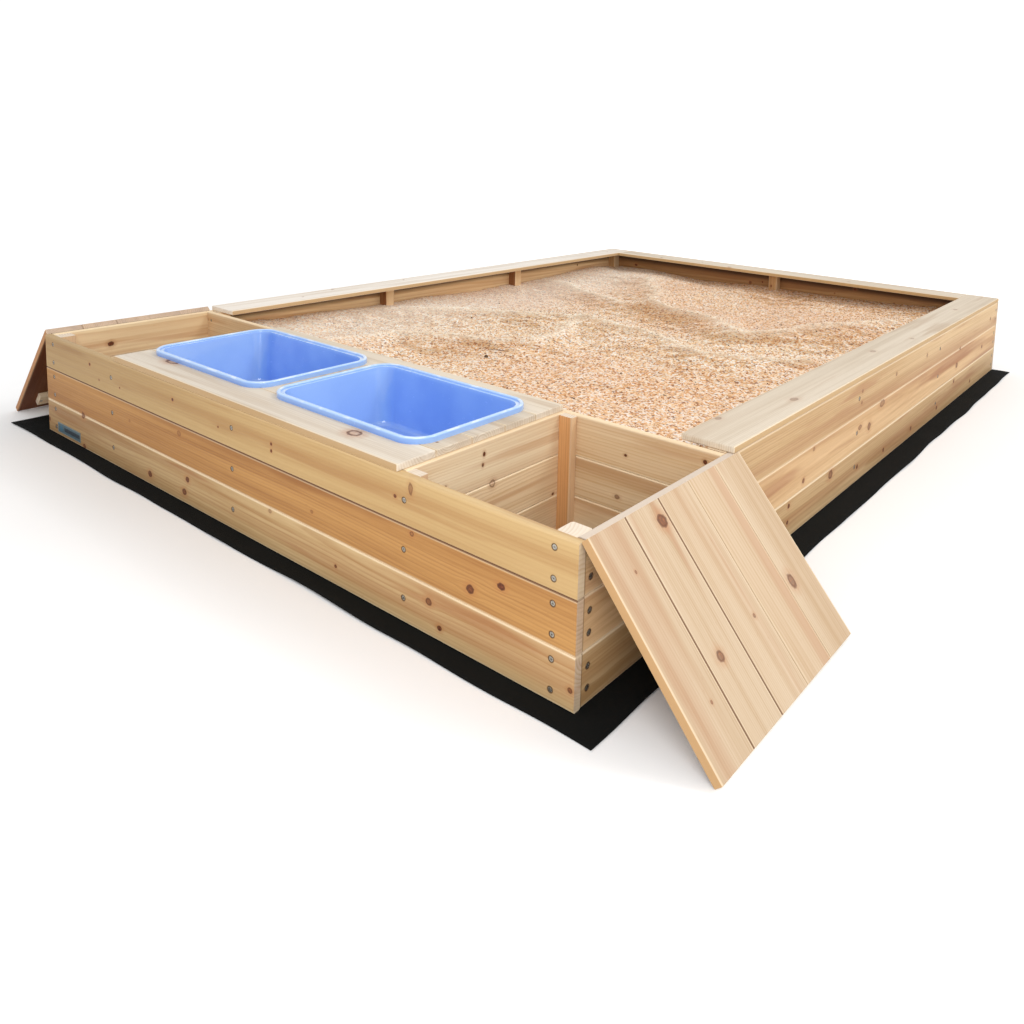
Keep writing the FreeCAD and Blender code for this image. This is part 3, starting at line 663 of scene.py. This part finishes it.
for name in ("corner_post_front_left", "corner_post_front_right", "bin_cleats", "deck_supports"):
    dress_board(name, "Z", "X", "post")
for name in ("corner_post_back_left", "corner_post_back_right", "back_post"):
    dress_board(name, "Z", "X", "pit")
# Their faces to the front get painted shade.
dress_board("pit_posts", "Z", "X", "inner", underside=-1)
dress_board("deck_battens", "Y", "X", "bare")
dress_board("seat_back", "X", "Y", "seat")
dress_board("seat_left", "Y", "X", "seat_left")
# The widths of a seat and of a deck board, in centimetres.
SEAT_WIDTH = 11.8
DECK_BOARD = 9.26
dress_board("seat_right", "Y", "X", "seat", knots=within(SEAT_KNOTS, 0, SEAT_WIDTH))
for row in range(5):
    dress_board("deck_board_%d" % (row + 1), "X", "Y", "deck" if row == 0 else "seat",
                seams=(0.12, 0.12),
                knots=within(DECK_KNOTS, row * DECK_BOARD, (row + 1) * DECK_BOARD))

# A lid leans on the wall's upper outer corner. Its length is in metres and its boards' width in
# centimetres; the seams are the joints before each board and after the last.
LID_LENGTH = 0.36
LID_BOARD = 9.44
LID_SEAMS = (0, 0.9, 0.9, 0.35, 0.3, 0)
for side, sign in SIDES.items():
    wall_low, wall_high = corners_of("%s_board_3" % side)
    hinge = Vector((wall_low.x if sign < 0 else wall_high.x,
                    corners_of("lid_%s_board_1" % side)[0].y, wall_high.z))
    tilt = math.asin(hinge.z / LID_LENGTH)
    down = Vector((sign * math.cos(tilt), 0, -math.sin(tilt)))
    for row in range(5):
        node = "lid_%s_board_%d" % (side, row + 1)
        corner = hinge + Y_AXIS * row * LID_BOARD * CM
        knots = None
        if side == "right":
            knots = [(LID_LENGTH - up * CM, (across - row * LID_BOARD) * CM,
                      half_length * CM, half_width * CM, strength, fill)
                     for across, up, half_length, half_width, strength, fill in LID_KNOTS
                     if row * LID_BOARD < across < (row + 1) * LID_BOARD]
        # Each lid's under face gets painted shade.
        dress(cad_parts[node], wood(node, corner, down, Y_AXIS, LID_LENGTH, LID_BOARD * CM,
                                         "lid" if side == "right" else "lid_left",
                                         knots=knots, seams=LID_SEAMS[row:row + 2],
                                         underside=-sign))
    node = "lid_%s_battens" % side
    dress(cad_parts[node], wood(node, hinge, Y_AXIS, down, LID_LENGTH, LID_LENGTH, "bare"))

# ---------------------------------------------------------------- screws, tubs, plate


def steel():
    material, graph, shader = new_material("plated_steel")
    place = graph.place()
    wear = graph.noise(place, 900.0, 3.0)
    tint = graph.ramp(wear, ((0.3, colour(112, 108, 100)), (0.7, colour(214, 210, 200))))
    graph.fill(shader, {
        "Base Color": tint, "Roughness": graph.ease(wear, 0.3, 0.7, 0.28, 0.5),
        "Normal": graph.bump(wear, 0.2, 0.0002), "Metallic": 1.0})
    return material


def blue_plastic(name, rim_low):
    """Moulded polypropylene, lighter in its rim and on the walls that face right: a painted
    highlight on the walls that face right and on the rim's top, with bright painted streaks there,
    and painted shade on the walls that face the front.
    """
    material, graph, shader = new_material(name)
    place = graph.place()
    height = graph.split(place)["Z"]
    cloud = graph.noise(place, 9.0, 2.0)
    scratch = graph.noise(graph.vector("MULTIPLY", place, (90.0, 900.0, 90.0)), 1.0, 2.0)
    body = graph.mix(graph.ease(cloud, 0.3, 0.7), colour(142, 176, 238), colour(126, 162, 232))
    normal = graph.normal()
    # Painted highlight on the walls that face right.
    to_right = graph.vector("DOT_PRODUCT", normal, (1, 0, 0))
    body = graph.mix(graph.ease(to_right, 0.2, 0.9, 0.0, 0.35), body, colour(176, 210, 240))
    # Painted shade on the walls that face the front.
    to_front = graph.vector("DOT_PRODUCT", normal, (0.4, -1, 0))
    body = graph.mix(graph.ease(to_front, 0.5, 1.0, 0.0, 0.9), body, colour(222, 238, 255),
                     kind="MULTIPLY")
    rim = graph.ease(height, rim_low - 0.002, rim_low + 0.012, 0.0, 1.0)
    # The rim's top is paler, a painted highlight, with bright painted streaks.
    crown = graph.ease(graph.split(normal)["Z"], 0.15, 0.85)
    glint_streaks = graph.ease(graph.noise(place, 26.0, 2.0), 0.50, 0.62, 0.0, 0.6)
    top = graph.mix(glint_streaks, colour(180, 210, 248), colour(232, 242, 255))
    tint = graph.mix(rim, body, graph.mix(crown, colour(146, 184, 244), top))
    marks = graph.ease(scratch, 0.62, 0.72)
    graph.fill(shader, {
        "Base Color": tint, "Roughness": graph.math("MULTIPLY_ADD", marks, 0.15, 0.15),
        "Normal": graph.bump(graph.noise(place, 60.0, 2.0), 0.08, 0.002),
        "Coat Weight": 0.6, "Coat Roughness": 0.06})
    return material


def plate_face(low, high):
    """A plain printed plate: a pale border, a mid band and a soft disc."""
    material, graph, shader = new_material("printed_plate")
    place = graph.vector("SUBTRACT", graph.place(), tuple((low + high) / 2))
    size = high - low
    near = graph.vector("ABSOLUTE", graph.vector("DIVIDE", place, (size.x / 2, 1.0, size.z / 2)))
    x, _, z = graph.split(near)
    border = graph.math("MAXIMUM", graph.ease(x, 0.955, 0.965), graph.ease(z, 0.82, 0.86))
    disc_place = graph.vector("SUBTRACT", place, (-size.x * 0.34, 0.0, 0.0))
    disc = graph.vector("LENGTH", graph.vector("MULTIPLY", disc_place, (1, 0, 1)))
    disc = graph.ease(disc, size.z * 0.30, size.z * 0.27)
    band_start = graph.ease(graph.split(place)["X"], -size.x * 0.22, -size.x * 0.20)
    band = graph.math("MULTIPLY", graph.ease(z, 0.42, 0.38), band_start)
    grime = graph.ease(graph.noise(place, 220.0, 3.0), 0.3, 0.7)
    tint = graph.mix(grime, colour(84, 106, 114), colour(68, 90, 100))
    for mask, ink in ((band, (36, 46, 56)), (disc, (52, 104, 130)), (border, (116, 130, 132))):
        tint = graph.mix(mask, tint, colour(*ink))
    graph.fill(shader, {
        "Base Color": tint, "Roughness": graph.math("MULTIPLY_ADD", grime, 0.15, 0.35)})
    return material


screw_steel = steel()
for name in ("frame_screws", "lid_left_screws", "lid_right_screws"):
    dress(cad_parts[name], screw_steel)
deck_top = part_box("deck_board_1")[1][2]
for side in SIDES:
    dress(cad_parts["tub_" + side], blue_plastic("blue_plastic_" + side, deck_top))
dress(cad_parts["label_plate"], plate_face(*corners_of("label_plate")))

# ---------------------------------------------------------------- sand

sand_low, sand_high = corners_of("sand_fill")
FRAME_LEFT, FRAME_FRONT, _ = corners_of("front_board_1")[0]

# The bed's broad level and its crests, in centimetres from the frame's left and front and above
# the mat. A crest is a line of places, its rise, and how far it spreads to its front and its back.
LEVELS = (
    (1.6, 57, 22.2), (1.6, 79, 21.2), (1.6, 121, 20.2), (1.6, 184, 19.2), (1.6, 246, 20.9),
    (5, 266, 19.9), (31, 266, 20.6), (53, 266, 18.8), (86, 266, 20.2), (126, 266, 20.2),
    (161, 266, 21.8), (182, 60, 22.0), (182, 120, 21.2), (182, 190, 20.8), (40, 49, 21.4),
    (100, 49, 21.8), (150, 49, 22.6), (60, 84, 18.4), (24, 84, 18.6), (60, 118, 19.0),
    (112, 116, 19.6), (30, 170, 18.0), (100, 168, 17.8), (100, 222, 18.2), (130, 86, 20.4),
    (140, 160, 18.6), (40, 222, 18.2), (150, 236, 19.4),
)
CRESTS = (
    (((0, 96), (35, 133), (70, 152)), 3.2, 16, 18),
    (((70, 152), (85, 150), (100, 150), (127, 133), (158, 150)), 3.8, 18, 14),
    (((0, 205), (20, 204), (60, 188), (75, 194)), 2.8, 15, 16),
    (((45, 235), (75, 194), (88, 187), (110, 182), (125, 166), (135, 180), (158, 220)),
     4.8, 18, 20),
    (((37, 65), (37, 88), (55, 101), (70, 105), (78, 115), (75, 130), (70, 150)), 2.6, 14, 12),
)

# In centimetres: how far noise moves the places above, the square of a level's reach, how near a
# wall the crests begin to die out, and how far the bed lies below its levels between them.
WANDER = 4.0
LEVEL_REACH_SQUARED = 90.0
WALL_FADE = 14.0
SETTLING = 1.4
# How near its line a crest gets a painted highlight.
HIGHLIGHT_FROM = 0.72


def crest_share(across, back, line, front_spread, back_spread):
    """How near a place is to a crest: 1 on its line, and less and less away from it."""
    nearest = 1000.0
    behind = True
    for (ax, ay), (bx, by) in zip(line, line[1:]):
        dx, dy = bx - ax, by - ay
        part = ((across - ax) * dx + (back - ay) * dy) / (dx * dx + dy * dy)
        part = min(max(part, 0.0), 1.0)
        off_x, off_y = across - ax - part * dx, back - ay - part * dy
        gap = math.hypot(off_x, off_y)
        if gap < nearest:
            nearest = gap
            behind = off_y > 0
    return math.exp(-nearest / (back_spread if behind else front_spread))


def sand_height(x, y):
    """The level of the sand, in metres, at a place in metres, and how strongly a crest's painted
    highlight shows there.
    """
    spot = Vector((x, y, 0.0))
    across = (x - FRAME_LEFT) / CM + WANDER * noise.noise(spot * 3.3)
    back = (y - FRAME_FRONT) / CM + WANDER * noise.noise(spot * 3.3 + Vector((5, 3, 0)))
    weights = [1.0 / ((across - place_x) ** 2 + (back - place_y) ** 2 + LEVEL_REACH_SQUARED) ** 1.5
               for place_x, place_y, _ in LEVELS]
    level = sum(weight * place[2] for weight, place in zip(weights, LEVELS)) / sum(weights)
    wall = min(x - sand_low.x, sand_high.x - x, y - sand_low.y, sand_high.y - y) / CM
    fade = min(max(wall / WALL_FADE, 0.0), 1.0)
    shares = [crest_share(across, back, line, *spreads) for line, _, *spreads in CRESTS]
    lift = max(share * crest[1] for share, crest in zip(shares, CRESTS))
    level += fade * (lift - SETTLING)
    for height, scale in ((0.5, 6.0), (0.25, 21.0), (0.13, 70.0)):
        level += height * noise.noise(spot * scale)
    return level * CM, fade * max(max(shares) - HIGHLIGHT_FROM, 0.0) / (1.0 - HIGHLIGHT_FROM)


def sand_surface():
    """The bed of sand as one closed mesh, down to the mat."""
    step = 0.008
    columns = round((sand_high.x - sand_low.x) / step)
    rows = round((sand_high.y - sand_low.y) / step)
    verts = []
    crest_highlight = []
    for y in np.linspace(sand_low.y, sand_high.y, rows + 1):
        for x in np.linspace(sand_low.x, sand_high.x, columns + 1):
            level, crest_lit = sand_height(x, y)
            verts.append((x, y, sand_low.z + level))
            crest_highlight.append(crest_lit)
    faces = grid_faces(columns, rows)
    wide = columns + 1
    rim = list(range(wide)) + [row * wide + columns for row in range(1, rows + 1)]
    rim += [rows * wide + column for column in range(columns - 1, -1, -1)]
    rim += [row * wide for row in range(rows - 1, 0, -1)]
    base = len(verts)
    count = len(rim)
    verts += [(verts[corner][0], verts[corner][1], sand_low.z) for corner in rim]
    for index in range(count):
        following = (index + 1) % count
        faces.append((rim[following], rim[index], base + index, base + following))
    faces.append(tuple(base + index for index in reversed(range(count))))
    piece = new_piece("sand_bed", verts, faces)
    # The crests' painted highlight, none on the sides.
    crest_highlight += [0.0] * count
    piece.data.attributes.new("crest_highlight", "FLOAT", "POINT").data.foreach_set("value", crest_highlight)
    smooth(piece)
    return piece


def sand_material():
    """Grains of many tints, with painted shade on slopes to the front and painted light to the left
    and on crests.
    """
    material, graph, shader = new_material("coarse_sand")
    place = graph.place()
    warped = graph.vector("ADD", place, graph.vector(
        "MULTIPLY", graph.add("TexNoise", {"Vector": place, "Scale": 160.0}).outputs["Color"],
        (0.003, 0.003, 0.003)))
    coarse = graph.add("TexVoronoi", {"Vector": warped, "Scale": 195.0})
    fine = graph.add("TexVoronoi", {"Vector": warped, "Scale": 400.0})
    pick = graph.split(coarse.outputs["Color"])["X"]
    grain = graph.ramp(pick, (
        (0.00, colour(96, 60, 34)), (0.09, colour(184, 118, 64)),
        (0.26, colour(232, 176, 116)), (0.45, colour(246, 208, 160)),
        (0.68, colour(254, 234, 202)), (0.86, colour(255, 255, 252))))
    small = graph.ramp(graph.split(fine.outputs["Color"])["Y"], (
        (0.0, colour(190, 138, 92)), (0.4, colour(236, 196, 152)), (1.0, colour(252, 234, 210))))
    tint = graph.mix(0.12, grain, small)
    region = graph.noise(place, 1.3, 2.0)
    tint = graph.mix(graph.ease(region, 0.40, 0.65, 0.0, 0.25), tint, colour(232, 176, 124),
                     kind="MULTIPLY")
    # Painted shade on the slopes that face the front.
    to_front = graph.vector("DOT_PRODUCT", graph.normal(), (0.15, -1.0, 0.0))
    tint = graph.mix(graph.ease(to_front, 0.0, 0.22, 0.0, 0.8), tint, colour(201, 173, 133),
                     kind="MULTIPLY")
    # Painted light on the sand to the left, which lies in shadow.
    leftward = graph.ease(graph.split(place)["X"], -0.25, -0.85, 0.0, 0.38)
    tint = graph.mix(leftward, tint, colour(255, 248, 238))
    # A painted highlight along the crests.
    crest_lit = graph.add("Attribute", attribute_name="crest_highlight").outputs["Fac"]
    tint = graph.mix(graph.math("MULTIPLY", crest_lit, 0.38), tint, colour(255, 244, 222))
    height = graph.math("MULTIPLY_ADD", coarse.outputs["Distance"], -1.0,
                        graph.math("MULTIPLY", fine.outputs["Distance"], -0.4))
    graph.fill(shader, {
        "Base Color": tint, "Roughness": graph.ease(pick, 0.0, 1.0, 0.75, 0.95),
        "Normal": graph.bump(height, 0.75, 0.0028)})
    return material


def lumps(name, draw, spots):
    """Small uneven lumps on the sand: place, radius, and how long each is along X.

    Each lump is an icosahedron whose 12 corners are moved in or out.
    """
    golden = (1 + math.sqrt(5)) / 2
    corners = np.array([(-1, golden, 0), (1, golden, 0), (-1, -golden, 0), (1, -golden, 0),
                        (0, -1, golden), (0, 1, golden), (0, -1, -golden), (0, 1, -golden),
                        (golden, 0, -1), (golden, 0, 1), (-golden, 0, -1), (-golden, 0, 1)])
    corners /= np.linalg.norm(corners[0])
    sides = np.array([(0, 11, 5), (0, 5, 1), (0, 1, 7), (0, 7, 10), (0, 10, 11), (1, 5, 9),
                      (5, 11, 4), (11, 10, 2), (10, 7, 6), (7, 1, 8), (3, 9, 4), (3, 4, 2),
                      (3, 2, 6), (3, 6, 8), (3, 8, 9), (4, 9, 5), (2, 4, 11), (6, 2, 10),
                      (8, 6, 7), (9, 8, 1)])
    verts = []
    faces = []
    for number, (x, y, radius, stretch) in enumerate(spots):
        spread = radius * draw.uniform(0.7, 1.2, 3) * (stretch, 1.0, 1.0)
        shape = corners * spread * draw.uniform(0.85, 1.15, (12, 1))
        level = sand_low.z + sand_height(x, y)[0] + radius * 0.3
        verts.append(shape + (x, y, level))
        faces.append(sides + 12 * number)
    return new_piece(name, np.concatenate(verts).tolist(), np.concatenate(faces).tolist())


def scattered(draw, count, small, large):
    """Spots for round lumps anywhere on the sand, with a radius between small and large."""
    margin = 0.02
    return [(draw.uniform(sand_low.x + margin, sand_high.x - margin),
             draw.uniform(sand_low.y + margin, sand_high.y - margin),
             draw.uniform(small, large), 1.0) for _ in range(count)]


def bark_material():
    material, graph, shader = new_material("dark_bark")
    fibre = graph.noise(graph.place(), 300.0, 2.0)
    tint = graph.mix(fibre, colour(48, 34, 24), colour(112, 88, 66))
    graph.fill(shader, {"Base Color": tint, "Roughness": 0.85})
    return material


sand_look = sand_material()
sand = sand_surface()
sand_draw = np.random.default_rng(7)
grains = lumps("sand_grains", sand_draw, scattered(sand_draw, 6000, 0.0012, 0.0026))
# A twig and a dark bit, in centimetres from the frame's left and front.
TWIG = (75.0, 97.0)
DARK_BIT = (80.0, 90.0)
litter_spots = [(FRAME_LEFT + (TWIG[0] + 0.4 * step) * CM,
                 FRAME_FRONT + (TWIG[1] + 0.08 * step) * CM, 0.0012, 3.0) for step in range(16)]
litter_spots.append((FRAME_LEFT + DARK_BIT[0] * CM, FRAME_FRONT + DARK_BIT[1] * CM, 0.006, 1.5))
litter_spots += scattered(sand_draw, 22, 0.0016, 0.0034)
litter = lumps("sand_litter", sand_draw, litter_spots)
for piece, look in ((sand, sand_look), (grains, sand_look), (litter, bark_material())):
    piece.data.materials.append(look)
    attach(piece, "root")
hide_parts("sand_fill")

# ---------------------------------------------------------------- ground cloth


def cloth_material():
    material, graph, shader = new_material("black_cloth")
    place = graph.place()
    warp, weft = (graph.add("TexWave", {"Vector": place, "Scale": 520.0, "Distortion": 0.6},
                            bands_direction=axis).outputs["Fac"] for axis in "XY")
    threads = graph.math("MAXIMUM", warp, weft)
    fluff = graph.noise(place, 700.0, 3.0, 0.7)
    cloud = graph.noise(place, 6.0, 3.0)
    tint = graph.mix(threads, colour(8, 9, 9), colour(20, 21, 20))
    tint = graph.mix(graph.ease(fluff, 0.55, 0.75, 0.0, 0.4), tint, colour(36, 36, 34))
    tint = graph.mix(graph.ease(cloud, 0.4, 0.8, 0.0, 0.4), tint, colour(26, 26, 25))
    graph.fill(shader, {
        "Base Color": tint, "Roughness": graph.ease(fluff, 0.3, 0.7, 0.8, 0.95),
        "Normal": graph.bump(graph.math("ADD", threads, fluff), 0.5, 0.0006),
        "Specular IOR Level": 0.12})
    return material


def cloth_surface():
    """A thin cloth that lies flat under the frame and ripples along its free edges."""
    low, high = corners_of("ground_mat")
    wall_low, wall_high = corners_of("front_board_1")[0], corners_of("back_board_1")[1]
    step = 0.012
    columns = round((high.x - low.x) / step)
    rows = round((high.y - low.y) / step)
    middle_height, ripple_height, sway = 0.0010, 0.0045, 0.006
    verts = []
    for row in range(rows + 1):
        for column in range(columns + 1):
            x = low.x + (high.x - low.x) * column / columns
            y = low.y + (high.y - low.y) * row / rows
            out = max(wall_low.x - x, x - wall_high.x, wall_low.y - y, y - wall_high.y, 0.0)
            loose = min(out / 0.04, 1.0)
            spot = Vector((x, y, 0.0))
            lift = 0.5 + 0.5 * noise.noise(spot * 7.0)
            verts.append((x + sway * loose * noise.noise(spot * 5.0 + Vector((9, 0, 0))),
                          y + sway * loose * noise.noise(spot * 5.0 + Vector((0, 9, 0))),
                          middle_height + ripple_height * loose * lift ** 2))
    piece = new_piece("ground_cloth", verts, grid_faces(columns, rows))
    smooth(piece)
    thick = piece.modifiers.new("thick", "SOLIDIFY")
    thick.thickness = 0.0008
    thick.offset = 0.0
    return piece, (high.x - low.x, high.y - low.y)


cloth, cloth_size = cloth_surface()
cloth.data.materials.append(cloth_material())
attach(cloth, "root")
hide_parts("ground_mat")

# ---------------------------------------------------------------- floor, lights and camera


def floor_material():
    """A pale floor that turns into a plain white ground away from the object."""
    material, graph, shader = new_material("pale_floor")
    place = graph.place()
    tint = graph.mix(graph.noise(place, 2.0), colour(246, 246, 246), colour(250, 250, 250))
    glow = graph.ease(graph.vector("LENGTH", place), 1.3, 4.0, 0.0, 0.5)
    graph.fill(shader, {
        "Base Color": tint, "Roughness": 0.9, "Specular IOR Level": 0.1,
        "Emission Strength": glow, "Emission Color": (1.0, 1.0, 1.0, 1.0)})
    return material


def soft_light(name, place, target, size, power):
    lamp = bpy.data.lights.new(name, "AREA")
    lamp.shape = "DISK"
    lamp.size = size
    lamp.energy = power
    holder = new_object(name, lamp)
    holder.location = place
    holder.rotation_euler = (Vector(target) - Vector(place)).to_track_quat("-Z", "Y").to_euler()


bpy.ops.mesh.primitive_plane_add(size=80, location=(0, 0, -0.0005))
floor = bpy.context.object
floor.name = "floor"
floor.data.materials.append(floor_material())

SKY_LIGHT = 0.86
SKY_SEEN = 1.1
world = bpy.data.worlds.new("studio")
bpy.context.scene.world = world
world.use_nodes = True
studio = Graph(world.node_tree)
sky = world.node_tree.nodes["Background"]
sky.inputs["Color"].default_value = (1.0, 1.0, 1.0, 1.0)
seen = studio.add("LightPath").outputs["Is Camera Ray"]
studio.feed(sky.inputs["Strength"], studio.ease(seen, 0.0, 1.0, SKY_LIGHT, SKY_SEEN))

KEY_PLACE = (4.2, 1.8, 4.6)
MIDDLE = (0, 0, 0.1)
soft_light("key", KEY_PLACE, MIDDLE, size=2.6, power=72)
soft_light("glint", KEY_PLACE, MIDDLE, size=0.6, power=24)
soft_light("fill", (2.0, -2.7, 1.7), (0.3, -1.0, 0.1), size=1.4, power=27)

# The photograph's view: the camera's place in metres, its azimuth, elevation and roll in degrees,
# its focal length in millimetres, and the part of the picture that its middle is shifted by.
CAMERA_PLACE = (1.6349, -2.2753, 0.8624)
CAMERA_ANGLES = (127.2803, -7.5564, 1.9374)
CAMERA_LENS = 30.458
CAMERA_SHIFT = (-0.0668, -0.2563)
camera_data = bpy.data.cameras.new("camera")
camera_data.sensor_width = 36.0
camera_data.lens = CAMERA_LENS
camera_data.shift_x, camera_data.shift_y = CAMERA_SHIFT
camera = new_object("camera", camera_data)
bpy.context.scene.camera = camera
azimuth, elevation, roll = (math.radians(angle) for angle in CAMERA_ANGLES)
forward = Vector((math.cos(elevation) * math.cos(azimuth),
                  math.cos(elevation) * math.sin(azimuth), math.sin(elevation)))
level_right = forward.cross(Z_AXIS).normalized()
level_up = level_right.cross(forward)
right = math.cos(roll) * level_right + math.sin(roll) * level_up
up = math.cos(roll) * level_up - math.sin(roll) * level_right
turn = Matrix((right, up, -forward)).transposed().to_4x4()
camera.matrix_world = Matrix.Translation(CAMERA_PLACE) @ turn

bpy.context.scene.view_settings.view_transform = "Standard"

bpy.context.view_layer.update()
